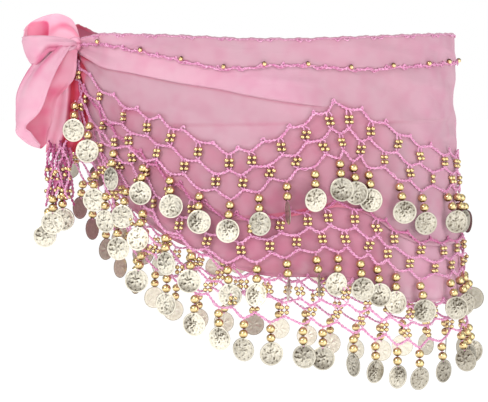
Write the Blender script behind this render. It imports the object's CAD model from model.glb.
"""The looks of the belly dance hip scarf: chiffon, crocheted nets, beads and stamped coins.

Sizes are in millimetres until a mesh is made. A place on the wrap is given by its turn round the
hips, in degrees, its height, and how far it stands off the figure.
"""

import math
from collections import namedtuple

import bpy
import numpy as np
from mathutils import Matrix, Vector


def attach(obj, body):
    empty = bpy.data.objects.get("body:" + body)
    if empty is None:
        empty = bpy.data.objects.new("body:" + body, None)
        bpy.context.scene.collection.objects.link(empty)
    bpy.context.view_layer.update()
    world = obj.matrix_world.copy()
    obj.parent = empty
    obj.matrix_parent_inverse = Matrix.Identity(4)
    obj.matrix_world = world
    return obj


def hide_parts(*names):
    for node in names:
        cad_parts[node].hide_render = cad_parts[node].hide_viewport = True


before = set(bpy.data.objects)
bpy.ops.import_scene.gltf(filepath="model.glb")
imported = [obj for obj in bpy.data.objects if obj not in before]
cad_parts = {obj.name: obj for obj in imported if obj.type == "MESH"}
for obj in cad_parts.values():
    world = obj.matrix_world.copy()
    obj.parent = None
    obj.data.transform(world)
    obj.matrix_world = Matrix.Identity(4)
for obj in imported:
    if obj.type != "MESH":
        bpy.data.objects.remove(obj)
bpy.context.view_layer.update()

# A millimetre in metres.
MM = 0.001
RANDOM = np.random.default_rng(7)

# ---------------------------------------------------------------- the camera

LOOK_AT = Vector((-0.0202, 0.0, -0.1386))
CAMERA_DISTANCE = 1.9
CAMERA_RISE = math.radians(3.0)
VIEW_WIDTH = 0.410


def make_camera():
    """A long lens in front of the wearer, a little above the hips."""
    data = bpy.data.cameras.new("camera")
    data.sensor_width = 36.0
    data.lens = data.sensor_width * CAMERA_DISTANCE / VIEW_WIDTH
    camera = bpy.data.objects.new("camera", data)
    bpy.context.collection.objects.link(camera)
    back = Vector((0.0, -math.cos(CAMERA_RISE), math.sin(CAMERA_RISE)))
    camera.location = LOOK_AT + back * CAMERA_DISTANCE
    camera.rotation_euler = (-back).to_track_quat("-Z", "Y").to_euler()
    bpy.context.scene.camera = camera


# ---------------------------------------------------------------- the form of the wrap

# Turns round the hips: 0 is the front, 90 the wearer's left side.
FRONT_END = -80.0
FULLEST = 97.5
BACK_END = 2 * FULLEST - FRONT_END

# The general figure, as ellipses one above the other.
Level = namedtuple("Level", "height half_width half_depth")
FIGURE = [
    Level(-300, 171, 121),
    Level(-225, 163, 117),
    Level(-160, 157, 112),
    Level(-80, 153, 108),
    Level(0, 151, 105),
    Level(40, 149, 103),
]

# The figure's depth as a share of its width.
DEPTH_SHARE = 0.7

# Heights of the scarf's edges, from the knot to the fullest place. The other half mirrors them.
Edges = namedtuple("Edges", "turn top trim tuck over_hem under_hem net_1 row_1 row_2 row_3")
EDGES = [
    Edges(-80, -3, -8, -13, -22, -28, -18, -53, -58, -62),
    Edges(-72, -1, -8, -19, -47, -62, -27, -63, -80, -92),
    Edges(-60, 1, -8, -26, -70, -94, -42, -84, -102, -119),
    Edges(-45, 0, -13, -31, -91, -126, -57, -97, -124, -160),
    Edges(-30, -1, -20, -38, -118, -156, -70, -112, -159, -191),
    Edges(-15, -3, -28, -44, -144, -180, -88, -130, -180, -215),
    Edges(-8, -4, -28, -48, -148, -187, -91, -130, -183, -224),
    Edges(0, -4, -26, -52, -147, -192, -82, -122, -179, -228),
    Edges(10, -4, -26, -56, -143, -193, -68, -111, -175, -231),
    Edges(20, -3, -28, -59, -138, -195, -53, -99, -174, -235),
    Edges(30, -2, -29, -62, -145, -202, -64, -108, -182, -244),
    Edges(40, -1, -27, -65, -161, -213, -75, -118, -192, -251),
    Edges(50, 0, -26, -68, -170, -217, -86, -128, -199, -252),
    Edges(65, 1, -24, -70, -172, -217, -94, -128, -198, -244),
    Edges(FULLEST, 2, -22, -70, -168, -219, -98, -132, -197, -241),
]

# The tuck in the over layer: how proud it stands, the turns over which it fades, and its drop.
TUCK_DEEPEST = 2.0
TUCK_FADES = (8.0, 21.0)
TUCK_LIP = 0.9

# How far the wrap's two ends are pulled out towards the knot, and how the back end rises to it.
BACK_PULL = 12.0
BACK_PULL_TURNS = (238.0, 266.0)
FRONT_PULL = 5.0
FRONT_PULL_TURNS = (-66.0, -80.0)
BACK_RISE = 9.5
BACK_RISE_TURN = 262.0
BACK_RISE_SPREAD = 12.0

# Soft flutes in the lower half: turn of the crest, height of the crest, half its width in degrees.
Flute = namedtuple("Flute", "turn crest spread")
FLUTES = [
    Flute(-34, 1.4, 9),
    Flute(-4, 1.8, 8),
    Flute(14, -1.2, 7),
    Flute(41, 1.5, 9),
    Flute(72, -1.0, 8),
    Flute(104, 1.6, 10),
    Flute(133, -1.1, 8),
    Flute(161, 1.7, 9),
    Flute(196, 1.3, 8),
    Flute(224, -1.0, 9),
]
FLUTE_STARTS = -110.0
FLUTE_FULL = -200.0

# Pleats that run out of the knot: slope below the level, rise, half width, and how far they reach.
Pleat = namedtuple("Pleat", "slope rise spread reach")
KNOT_PLEATS = [
    Pleat(-38, 1.3, 5.0, 45),
    Pleat(-24, -1.4, 4.0, 55),
    Pleat(-11, 1.5, 4.0, 60),
    Pleat(2, 1.5, 3.0, 60),
    Pleat(10, -1.3, 2.6, 70),
    Pleat(17, 1.6, 3.2, 95),
    Pleat(26, -1.2, 3.0, 80),
    Pleat(34, 1.3, 3.6, 100),
    Pleat(43, -1.2, 3.4, 75),
    Pleat(52, 1.6, 4.0, 90),
    Pleat(61, -1.4, 3.2, 80),
    Pleat(69, 1.5, 3.0, 70),
    Pleat(76, -1.3, 2.6, 70),
    Pleat(83, 1.4, 2.6, 60),
]
KNOT_HEIGHT = -8.0
PLEATS_START = (6, 26)

# How far apart two turns a degree from each other lie: near the knot, and round the hips.
DEGREE_AT_KNOT = 2.1
DEGREE_AT_HIPS = 2.4

# Creases across the cloth: sharp on their lower side and soft on their upper side.
Crease = namedtuple("Crease", "turn height end_turn end_height rise above below")
CREASES = [
    Crease(-66, -6, -24, -12, 1.8, 8.0, 1.0),
    Crease(-32, -73, 9, -71, 1.6, 7.0, 0.7),
    Crease(26, -71, 78, -69, 1.7, 7.0, 0.7),
    Crease(-20, -86, 2, -90, 0.6, 6.0, 1.5),
    Crease(-52, -60, -30, -66, 0.5, 5.0, 1.2),
    Crease(-20, -10, 10, -19, 1.5, 5.0, 1.6),
    Crease(8, -6, 30, -16, 1.1, 5.0, 2.0),
    Crease(24, -9, 56, -20, 1.2, 5.0, 2.0),
    Crease(44, -5, 74, -14, 1.0, 5.0, 2.5),
    Crease(-12, -34, 22, -42, 1.5, 6.0, 1.8),
    Crease(30, -38, 70, -44, 1.3, 7.0, 1.8),
    Crease(52, -88, 92, -80, 0.7, 6.0, 1.5),
    Crease(84, -74, 128, -76, 0.8, 6.0, 0.9),
    Crease(92, -12, 122, -20, 0.8, 5.0, 2.0),
    Crease(112, -8, 150, -18, 0.7, 6.0, 3.0),
    Crease(120, -40, 160, -48, 0.7, 6.0, 2.5),
    Crease(140, -70, 196, -74, 0.8, 6.0, 0.9),
    Crease(160, -8, 204, -17, 0.9, 6.0, 2.5),
    Crease(186, -36, 226, -30, 0.8, 6.0, 2.0),
    Crease(206, -60, 240, -52, 0.7, 5.0, 1.2),
    Crease(222, -13, 262, -6, 1.6, 8.0, 1.2),
]

# A crease that drops away over less than this looks sharp, and gets a dark line.
SHARP_CREASE = 1.3

# Uneven slack in the chiffon: which way the ripples run, their spacing, rise and shift.
Ripple = namedtuple("Ripple", "slope spacing rise shift")
RIPPLES = [
    Ripple(-22, 46, 0.70, 0.4),
    Ripple(-31, 27, 0.42, 2.1),
    Ripple(12, 71, 0.75, 1.0),
    Ripple(-64, 58, 0.50, 3.3),
    Ripple(78, 39, 0.34, 5.2),
    Ripple(-14, 17, 0.19, 4.1),
]

# How far the folds lift the cloth at the least, and how far each layer stands off the figure.
LEAST_LIFT = 1.2
UNDER_OFF = 0.5
OVER_OFF = 2.1
BAND_OFF = 3.5

# How the top fold, and the beaded cord along the band, waver up and down.
FOLD_WAVES = ((0.35, 0.9, 0), (0.25, 2.3, 1))
CORD_WAVES = ((0.6, 1.7, 0), (0.5, 4.1, 0), (0.4, 0.63, 2))

# Where each end of the wrap runs into the knot.
GATHER_TURNS = 7.0
KNOT_MOUTHS = {"front": (-156.5, -27.0, -8.5), "back": (-160.0, -17.0, -5.0)}
GATHER_SHARE = 0.32
GATHER_HEIGHT = -14


def ease(low, high, value):
    """0 before low, 1 after high, and a smooth step between; low may be the larger."""
    share = np.clip((np.asarray(value, float) - low) / (high - low), 0.0, 1.0)
    return share * share * (3 - 2 * share)


def bump(value, middle, spread):
    """1 at the middle, falling softly away on both sides."""
    return np.exp(-(((value - middle) / spread) ** 2))


def smooth_through(places, values, at):
    """A smooth curve through (place, value) pairs, with places rising, read at many places."""
    places, values = np.asarray(places, float), np.asarray(values, float)
    count = len(places)
    low, high = np.maximum(np.arange(count) - 1, 0), np.minimum(np.arange(count) + 1, count - 1)
    at = np.clip(np.asarray(at, float), places[0], places[-1])
    index = np.clip(np.searchsorted(places, at, side="right") - 1, 0, count - 2)
    width = places[index + 1] - places[index]
    t = (at - places[index]) / width
    span = places[high] - places[low]
    if values.ndim > 1:
        span, width, t = span[:, None], width[..., None], t[..., None]
    slopes = (values[high] - values[low]) / span
    return (
        (2 * t**3 - 3 * t**2 + 1) * values[index]
        + (t**3 - 2 * t**2 + t) * width * slopes[index]
        + (3 * t**2 - 2 * t**3) * values[index + 1]
        + (t**3 - t**2) * width * slopes[index + 1]
    )


def waver(turn, waves):
    """A slow uneven waver along the wrap. Each wave is its rise, how often it comes, its shift."""
    return sum(rise * np.sin(turn * often + shift) for rise, often, shift in waves)


def from_front(turn):
    """The same turn on the front half, for what the back half repeats."""
    return np.where(turn <= FULLEST, turn, 2 * FULLEST - turn)


def edge(name, turn):
    """The height of one of the scarf's edges at a turn round the hips."""
    turn = np.clip(turn, FRONT_END, BACK_END)
    heights = [getattr(e, name) for e in EDGES]
    height = smooth_through([e.turn for e in EDGES], heights, from_front(turn))
    if name in ("top", "trim", "tuck"):
        height = height + BACK_RISE * bump(turn, BACK_RISE_TURN, BACK_RISE_SPREAD)
    return height


def figure(height):
    """Half width and half depth of the figure at a height."""
    heights = [level.height for level in FIGURE]
    wide = smooth_through(heights, [level.half_width for level in FIGURE], height)
    deep = smooth_through(heights, [level.half_depth for level in FIGURE], height)
    return wide, deep


def knot_pleats(turn, height):
    """The pleats that fan out of the knot, on the front panel and on the back one."""
    lift = 0.0
    for end, side in ((FRONT_END, 1), (BACK_END, -1)):
        along = (turn - end) * side * DEGREE_AT_KNOT + 8
        down = KNOT_HEIGHT - height
        reach = np.hypot(along, down)
        slope = np.degrees(np.arctan2(down, np.maximum(along, 0.1)))
        for pleat in KNOT_PLEATS:
            near = ease(*PLEATS_START, reach) * np.exp(-((reach / pleat.reach) ** 2))
            lift = lift + pleat.rise * bump(slope, pleat.slope, pleat.spread) * near
    return lift


def crease_line(crease, turn):
    """How far along a crease each turn lies, from 0 to 1, and the crease's height there."""
    share = np.clip((turn - crease.turn) / (crease.end_turn - crease.turn), 0.0, 1.0)
    return share, crease.height + (crease.end_height - crease.height) * share


def creases(turn, height):
    """How far the creases lift the cloth."""
    lift = 0.0
    for c in CREASES:
        share, line = crease_line(c, turn)
        fade = ease(0, 0.25, share) * ease(1, 0.7, share)
        above = np.exp(-np.maximum(height - line, 0) / c.above)
        below = np.exp(-np.maximum(line - height, 0) / c.below)
        lift = lift + c.rise * fade * np.where(height > line, above, below)
    return lift


def ripples(turn, height):
    """How far the slack lifts the cloth: waves whose crests wander a little."""
    lift = 0.0
    along = turn * DEGREE_AT_HIPS
    for r in RIPPLES:
        slope = math.radians(r.slope)
        across = height * math.cos(slope) - along * math.sin(slope)
        warp = 4.0 * np.sin(along / 31 + r.shift) + 3.0 * np.sin(height / 19 + 2 * r.shift)
        lift = lift + r.rise * np.sin(2 * math.pi * (across + warp) / r.spacing + r.shift)
    return lift


def relief(turn, height):
    """How far folds, pleats and slack lift every layer off the figure together."""
    flutes = sum(f.crest * bump(turn, f.turn, f.spread) for f in FLUTES)
    lift = flutes * ease(FLUTE_STARTS, FLUTE_FULL, height) + LEAST_LIFT
    lift = lift + BACK_PULL * ease(*BACK_PULL_TURNS, turn)
    lift = lift + FRONT_PULL * ease(*FRONT_PULL_TURNS, turn)
    ends = ease(FRONT_END, FRONT_END + 20, turn) * ease(BACK_END, BACK_END - 20, turn)
    lift = lift + ripples(turn, height) * ends * ease(4, -12, height)
    return lift + knot_pleats(turn, height) + creases(turn, height) * ease(6, -4, height)


def place(turn, height, off):
    """A point of the wrap in metres. Past the wrap's two ends it runs on into the knot."""
    turn, height, off = np.broadcast_arrays(*(np.asarray(v, float) for v in (turn, height, off)))
    held = np.clip(turn, FRONT_END, BACK_END)
    wide, deep = figure(height)
    out = off + relief(held, height)
    angle = np.radians(held)
    base = np.stack(
        [(wide + out) * np.sin(angle), -(deep + out) * np.cos(angle), height], axis=-1
    )
    for mouth, past in (("front", FRONT_END - turn), ("back", turn - BACK_END)):
        share = ease(0, GATHER_TURNS, past)[..., None]
        x, y, z = KNOT_MOUTHS[mouth]
        squeezed = GATHER_SHARE * (height - GATHER_HEIGHT)
        knot = np.stack([x + 0 * off, y - 0.8 * off, z + squeezed], axis=-1)
        base = base + (knot - base) * share
    return base * MM


def outward(turn):
    """The horizontal way straight out of the wrap, square to its oval."""
    angle = np.radians(np.asarray(turn, float))
    way = np.stack([np.sin(angle) * DEPTH_SHARE, -np.cos(angle), 0 * angle], axis=-1)
    return way / np.linalg.norm(way, axis=-1, keepdims=True)


# ---------------------------------------------------------------- making meshes


class Pile:
    """Many small forms gathered into one mesh, with a tone for each point."""

    def __init__(self):
        """Starts empty."""
        self.points, self.faces, self.tones, self.count = [], [], [], 0

    def add(self, points, faces, tone=1.0):
        """One form, with one tone or a tone for each of its points."""
        points = np.asarray(points, float).reshape(-1, 3)
        self.points.append(points)
        self.tones.append(np.broadcast_to(np.asarray(tone, float).reshape(-1), (len(points),)))
        self.faces += [[i + self.count for i in face] for face in faces]
        self.count += len(points)

    def add_copies(self, points, faces, turns, moves, tone=1.0):
        """Copies of one form, each turned by its matrix and moved."""
        copies = np.einsum("nij,pj->npi", turns, points) + moves[:, None, :]
        tones = np.tile(np.broadcast_to(tone, (len(points),)), len(moves))
        first = [np.asarray(face) for face in faces]
        every = [(face + i * len(points)).tolist() for i in range(len(moves)) for face in first]
        self.add(copies.reshape(-1, 3), every, tones)

    def make(self, name, material, sharp=60.0):
        """The piece itself, riding root. Edges over an angle of sharp degrees stay crisp."""
        mesh = bpy.data.meshes.new(name)
        mesh.from_pydata(np.concatenate(self.points).tolist(), [], self.faces)
        tone = mesh.attributes.new("tone", "FLOAT", "POINT")
        tone.data.foreach_set("value", np.concatenate(self.tones).astype(np.float32))
        mesh.shade_smooth()
        mesh.set_sharp_from_angle(angle=math.radians(sharp))
        mesh.materials.append(material)
        piece = bpy.data.objects.new(name, mesh)
        bpy.context.collection.objects.link(piece)
        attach(piece, "root")
        return piece


def stretches(node):
    """The names that a wound piece's three stretches have in the CAD model."""
    return [f"{node}_{side}" for side in ("front", "side", "back")]


def grid_faces(rows, columns, closed=False):
    """Faces of a grid of points stored row by row; closed joins each row's end to its start."""
    last = columns if closed else columns - 1
    row, column = np.meshgrid(np.arange(rows - 1), np.arange(last), indexing="ij")
    after = (column + 1) % columns
    corners = [row * columns + column, (row + 1) * columns + column,
               (row + 1) * columns + after, row * columns + after]
    return np.stack(corners, axis=-1).reshape(-1, 4).tolist()


def length_along(path):
    """The length of a path up to each of its points."""
    steps = np.linalg.norm(np.diff(path, axis=0), axis=1)
    return np.concatenate([[0], np.cumsum(steps)])


def resample(path, spacing):
    """The same path with its points evenly spaced."""
    along = length_along(path)
    count = max(4, int(round(along[-1] / spacing)) + 1)
    want = np.linspace(0, along[-1], count)
    return np.stack([np.interp(want, along, path[:, i]) for i in range(3)], axis=-1)


def rounded(path, times=2):
    """The same path with its corners eased."""
    path = np.array(path, float)
    for _ in range(times):
        path[1:-1] = (path[:-2] + 2 * path[1:-1] + path[2:]) / 4
    return path


def spread_over(ways, count):
    """The same ways, spread evenly over a number of points."""
    at, want = np.linspace(0, 1, len(ways)), np.linspace(0, 1, count)
    return np.stack([np.interp(want, at, ways[:, i]) for i in range(3)], axis=-1)


def tube(path, out, radius, sides=6):
    """Points and faces of a closed tube. out is a way roughly square to the path."""
    tangent = np.gradient(path, axis=0)
    tangent /= np.linalg.norm(tangent, axis=1, keepdims=True)
    side = np.cross(tangent, np.broadcast_to(out, path.shape))
    side /= np.maximum(np.linalg.norm(side, axis=1, keepdims=True), 1e-9)
    up = np.cross(side, tangent)
    angle = 2 * math.pi * np.arange(sides) / sides
    radius = np.broadcast_to(radius, (len(path), sides))[..., None]
    across, over = np.cos(angle)[None, :, None], np.sin(angle)[None, :, None]
    points = path[:, None, :] + radius * (across * side[:, None, :] + over * up[:, None, :])
    faces = grid_faces(len(path), sides, closed=True)
    last = (len(path) - 1) * sides
    faces += [list(range(sides)), list(range(last + sides - 1, last - 1, -1))]
    return points.reshape(-1, 3), faces


# ---------------------------------------------------------------- materials


def linear(code):
    """An sRGB hex colour as the linear colour a shader takes."""
    channels = [int(code[i:i + 2], 16) / 255 for i in (1, 3, 5)]
    return tuple(c / 12.92 if c <= 0.04045 else ((c + 0.055) / 1.055) ** 2.4 for c in channels) + (1.0,)


def add_node(tree, kind, inputs=None, links=None, **settings):
    """Adds a node with its settings, its unlinked inputs and its links from other nodes."""
    node = tree.nodes.new(kind)
    for key, value in settings.items():
        setattr(node, key, value)
    for key, value in (inputs or {}).items():
        node.inputs[key].default_value = value
    for key, output in (links or {}).items():
        tree.links.new(output, node.inputs[key])
    return node


def new_material(name, **shading):
    """A material with one Principled shader, and its tree, shader and object coordinates."""
    material = bpy.data.materials.new(name)
    material.use_nodes = True
    tree = material.node_tree
    shader = tree.nodes["Principled BSDF"]
    for key, value in shading.items():
        shader.inputs[key.replace("_", " ")].default_value = value
    place_of = add_node(tree, "ShaderNodeTexCoord").outputs["Object"]
    return material, tree, shader, place_of


def connect(tree, shader, **outputs):
    """Links outputs to a shader's inputs, whose names have _ for a space."""
    for key, output in outputs.items():
        tree.links.new(output, shader.inputs[key.replace("_", " ")])


# The sockets of a Mix node that blends colours: its share, its two colours and its result.
SHARE, FIRST, SECOND = 0, 6, 7
BLENDED = 2

# Chiffon by its tone, from deep to pale. Round the hips: the shade behind the bow, gathered
# cloth, cloth that lies close under the nets, loose cloth, and the doubled fold.
WRAP_TONES = [
    (0.0, "#B8283F"),
    (0.18, "#C8607A"),
    (0.27, "#B47287"),
    (0.36, "#B77F90"),
    (0.50, "#BD919F"),
    (0.75, "#C996A9"),
    (1.0, "#DAA4B6"),
]
# In the bow: deep gaps, the loops' shaded, open and lit insides, and the outside's folds and face.
BOW_TONES = [
    (0.0, "#C8243F"),
    (0.20, "#E2688A"),
    (0.40, "#F292AD"),
    (0.60, "#FABDD2"),
    (0.80, "#CB7290"),
    (1.0, "#D9A1B5"),
]


def chiffon_material(name, tones):
    """Chiffon: plain weave of hard-twisted polyester yarn, dyed. It looks soft and a little
    sheer, with a faint bloom where it turns away. Its threads, 0.25 mm apart, are too fine to
    show, so the weave is drawn 0.8 mm apart."""
    thread = 0.8 * MM
    slub = 6.0 * MM
    drift = 45.0 * MM
    cloud = 13.0 * MM
    material, tree, shader, place_of = new_material(
        name, Roughness=0.78, Sheen_Weight=0.22, Sheen_Roughness=0.45, Alpha=0.95,
        Sheen_Tint=linear("#FFE3EE"), Specular_IOR_Level=0.25,
    )
    tone = add_node(tree, "ShaderNodeAttribute", attribute_name="tone").outputs["Fac"]
    dyed = add_node(tree, "ShaderNodeValToRGB", links={"Fac": tone}).outputs["Color"]
    ramp = dyed.node.color_ramp
    ramp.elements.remove(ramp.elements[1])
    for at, code in tones:
        stop = ramp.elements.new(at) if at > 0 else ramp.elements[0]
        stop.color = linear(code)
    faded = add_node(
        tree, "ShaderNodeHueSaturation", {"Saturation": 0.90, "Value": 0.955}, {"Color": dyed}
    ).outputs["Color"]
    deeper = add_node(
        tree, "ShaderNodeHueSaturation", {"Saturation": 1.22, "Value": 0.95}, {"Color": dyed}
    ).outputs["Color"]
    drifting = add_node(
        tree, "ShaderNodeTexNoise", {"Scale": 1 / drift, "Detail": 2.0}, {"Vector": place_of}
    ).outputs["Fac"]
    soft = add_node(
        tree, "ShaderNodeMapRange", {"From Min": 0.35, "From Max": 0.65}, {"Value": drifting}
    ).outputs["Result"]
    cloudy = add_node(
        tree, "ShaderNodeTexNoise", {"Scale": 1 / cloud, "Detail": 1.0}, {"Vector": place_of}
    ).outputs["Fac"]
    thick = add_node(
        tree, "ShaderNodeMapRange", {"From Min": 0.42, "From Max": 0.72, "To Max": 0.55},
        {"Value": cloudy},
    ).outputs["Result"]
    uneven = add_node(
        tree, "ShaderNodeMix", None, {SHARE: soft, FIRST: faded, SECOND: dyed}, data_type="RGBA"
    ).outputs[BLENDED]
    colour = add_node(
        tree, "ShaderNodeMix", None, {SHARE: thick, FIRST: uneven, SECOND: deeper},
        data_type="RGBA",
    ).outputs[BLENDED]
    drawn_out = add_node(
        tree, "ShaderNodeMapping", {"Scale": (1.0, 1.0, 5.0)}, {"Vector": place_of}
    ).outputs["Vector"]
    slubs = add_node(
        tree, "ShaderNodeTexNoise", {"Scale": 1 / slub, "Detail": 3.0}, {"Vector": drawn_out}
    ).outputs["Fac"]
    weave = add_node(
        tree, "ShaderNodeTexNoise", {"Scale": 1 / thread, "Detail": 1.0}, {"Vector": place_of}
    ).outputs["Fac"]
    coarse = add_node(
        tree, "ShaderNodeBump", {"Strength": 0.35, "Distance": 0.25 * MM}, {"Height": slubs}
    ).outputs["Normal"]
    fine = add_node(
        tree, "ShaderNodeBump", {"Strength": 0.30, "Distance": 0.10 * MM},
        {"Height": weave, "Normal": coarse},
    ).outputs["Normal"]
    connect(tree, shader, Base_Color=colour, Normal=fine)
    return material


def yarn_material():
    """Crochet yarn: two plies of bright rayon, twisted. It looks silky, lilac pink where it
    catches light and magenta between its plies, which are 1.4 mm apart."""
    ply = 1.4 * MM
    material, tree, shader, place_of = new_material(
        "rayon_crochet_yarn", Roughness=0.48, Sheen_Weight=0.35, Sheen_Roughness=0.35,
        Sheen_Tint=linear("#FFD6EC"), Specular_IOR_Level=0.4,
    )
    tone = add_node(tree, "ShaderNodeAttribute", attribute_name="tone").outputs["Fac"]
    mottled = add_node(
        tree, "ShaderNodeTexNoise", {"Scale": 1 / ply, "Detail": 2.0}, {"Vector": place_of}
    ).outputs["Fac"]
    bright = add_node(
        tree, "ShaderNodeMapRange", {"From Min": 0.35, "From Max": 0.62}, {"Value": mottled}
    ).outputs["Result"]
    lit = add_node(
        tree, "ShaderNodeMix", {FIRST: linear("#D688B6"), SECOND: linear("#F0BCDA")},
        {SHARE: bright}, data_type="RGBA",
    ).outputs[BLENDED]
    colour = add_node(
        tree, "ShaderNodeMix", {FIRST: linear("#A8356F")}, {SHARE: tone, SECOND: lit},
        data_type="RGBA",
    ).outputs[BLENDED]
    lifted = add_node(
        tree, "ShaderNodeBump", {"Strength": 0.5, "Distance": 0.2 * MM}, {"Height": mottled}
    ).outputs["Normal"]
    connect(tree, shader, Base_Color=colour, Normal=lifted)
    return material


def bead_material():
    """Moulded acrylic beads, metallised in pale gold and lacquered. They look like small mirrors
    with a warm tint, cloudy from handling, and brown underneath where the gold has thinned."""
    haze = 2.5 * MM
    material, tree, shader, place_of = new_material("metallised_bead_gold", Metallic=1.0)
    tone = add_node(tree, "ShaderNodeAttribute", attribute_name="tone").outputs["Fac"]
    cloudy = add_node(
        tree, "ShaderNodeTexNoise", {"Scale": 1 / haze, "Detail": 2.0}, {"Vector": place_of}
    ).outputs["Fac"]
    gold = add_node(
        tree, "ShaderNodeMix", {FIRST: linear("#D3B473"), SECOND: linear("#F4E2B2")},
        {SHARE: cloudy}, data_type="RGBA",
    ).outputs[BLENDED]
    colour = add_node(
        tree, "ShaderNodeMix", {FIRST: linear("#5E3E1A")}, {SHARE: tone, SECOND: gold},
        data_type="RGBA",
    ).outputs[BLENDED]
    rough = add_node(
        tree, "ShaderNodeMapRange", {"To Min": 0.13, "To Max": 0.26}, {"Value": cloudy}
    ).outputs["Result"]
    connect(tree, shader, Base_Color=colour, Roughness=rough)
    return material


def coin_material():
    """Stamped sheet iron with a flash of pale gold. Its raised work and its plain field are
    polished nearly white, and the hollows beside the raised work keep a brown tarnish."""
    scuff = 1.6 * MM
    material, tree, shader, place_of = new_material("gold_flashed_coin_metal", Metallic=0.86)
    tone = add_node(tree, "ShaderNodeAttribute", attribute_name="tone").outputs["Fac"]
    cloudy = add_node(
        tree, "ShaderNodeTexNoise", {"Scale": 1 / scuff, "Detail": 3.0}, {"Vector": place_of}
    ).outputs["Fac"]
    bright = add_node(
        tree, "ShaderNodeMix", {FIRST: linear("#C8BEA2"), SECOND: linear("#F8F4EA")},
        {SHARE: cloudy}, data_type="RGBA",
    ).outputs[BLENDED]
    colour = add_node(
        tree, "ShaderNodeMix", {FIRST: linear("#382A16")}, {SHARE: tone, SECOND: bright},
        data_type="RGBA",
    ).outputs[BLENDED]
    rough = add_node(
        tree, "ShaderNodeMapRange", {"To Min": 0.22, "To Max": 0.40}, {"Value": cloudy}
    ).outputs["Result"]
    hammered = add_node(
        tree, "ShaderNodeBump", {"Strength": 0.5, "Distance": 0.12 * MM}, {"Height": cloudy}
    ).outputs["Normal"]
    connect(tree, shader, Base_Color=colour, Roughness=rough, Normal=hammered)
    return material


# ---------------------------------------------------------------- chiffon round the hips

WRAP_TURNS = np.linspace(FRONT_END - GATHER_TURNS, BACK_END + GATHER_TURNS, 440)
# A hem's depth, how far it stands off the cloth, and how round its fold is.
HEM_FOLD = 2.6
HEM_STEP = 0.45
HEM_ROUND = 0.4
# The soft scallops above each layer's hem: their spacing, and how high they reach.
SCALLOP = 43.0
SCALLOP_HIGH = 16
HIP_RADIUS = 150


def rows_between(first, last, count):
    """Row heights from one line to another, without the last line itself."""
    share = np.arange(count)[:, None] / count
    return first[None, :] + (last - first)[None, :] * share


def hem_rows(hem):
    """Row heights and offs of a narrow hem, stepped at its seam and turned up inside."""
    above = np.array([HEM_FOLD, HEM_FOLD - 0.3, HEM_ROUND, 0.0, HEM_ROUND, HEM_FOLD])
    heights = hem[None, :] + above[:, None]
    offs = np.array([0.0, HEM_STEP, HEM_STEP, 0.0, -HEM_STEP, -HEM_STEP])
    return heights, np.repeat(offs[:, None], len(hem), axis=1)


def hem_waves(turn, height, hem, rise):
    """Soft scallops that the net's weight pulls into the cloth above a hem."""
    along = np.radians(turn) * HIP_RADIUS
    near = np.exp(-np.maximum(height - hem, 0) / SCALLOP_HIGH)
    return rise * near * (0.6 + np.sin(2 * math.pi * along / SCALLOP + 0.8 * np.sin(along / 37)))


def tuck_lift(turn, height):
    """The over layer's tuck stands proud above its line and drops sharply below it."""
    line, trim = edge("tuck", turn), edge("trim", turn)
    swell = np.where(
        height > line, ease(trim + 2, line, height), ease(line - TUCK_LIP, line, height)
    )
    return TUCK_DEEPEST * swell * ease(*TUCK_FADES[::-1], turn)


def chiffon_tone(turn, height, tone):
    """A layer's tone, deeper in the valleys of its folds and where its ends meet the knot."""
    valleys = np.clip(-knot_pleats(turn, height) / 1.4, 0, 1) * 0.10
    gathered_in = 0.20 * ease(BACK_END - 8, BACK_END, turn)
    bunched = 0.30 * ease(BACK_END - 42, BACK_END - 16, turn) * ease(-34, -12, height)
    behind_bow = 0.46 * ease(-69, -75, turn) * ease(-12, -26, height)
    return tone - valleys - gathered_in - bunched - behind_bow - crease_tone(turn, height)


def crease_tone(turn, height):
    """How much less light the sharp creases and the tuck's foot get."""
    dark = 0.0
    for c in CREASES:
        if c.below > SHARP_CREASE:
            continue
        share, line = crease_line(c, turn)
        fade = ease(0, 0.12, share) * ease(1, 0.88, share)
        dark = dark + 0.11 * fade * bump(height, line - 0.4, 1.8)
    return dark


def wrap_sheet(name, heights, offs, tones, material):
    """A sheet of cloth round the hips, from the height, off and tone of every point."""
    grid = place(WRAP_TURNS[None, :], heights, offs)
    pile = Pile()
    pile.add(grid, grid_faces(*heights.shape), tones.reshape(-1))
    return pile.make(name, material, sharp=80.0)


def make_under_layer(material):
    """The longer layer. It looks deepest over the front and the back, where it lies close to the
    hips, and palest round the wearer's left side, where it hangs loose."""
    turn = WRAP_TURNS
    top, hem = edge("top", turn) - 1.5, edge("under_hem", turn)
    folded, steps = hem_rows(hem)
    heights = np.concatenate([rows_between(top, hem + HEM_FOLD, 78), folded])
    offs = np.full(heights.shape, UNDER_OFF)
    offs[-len(folded):] += steps
    offs = offs + hem_waves(turn[None, :], heights, hem, 0.7)
    near = from_front(turn)
    deep_front = 0.07 * ease(-26, -8, near) * ease(38, 26, near)
    loose_side = 0.40 * ease(34, 50, near)
    at_knot = 0.16 * ease(-46, -62, near)
    tone = 0.36 - deep_front + loose_side + at_knot
    tones = np.clip(chiffon_tone(turn[None, :], heights, tone[None, :]), 0, 1)
    piece = wrap_sheet("under_layer", heights, offs, tones, material)
    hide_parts(*stretches("under_layer"))
    return piece


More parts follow.
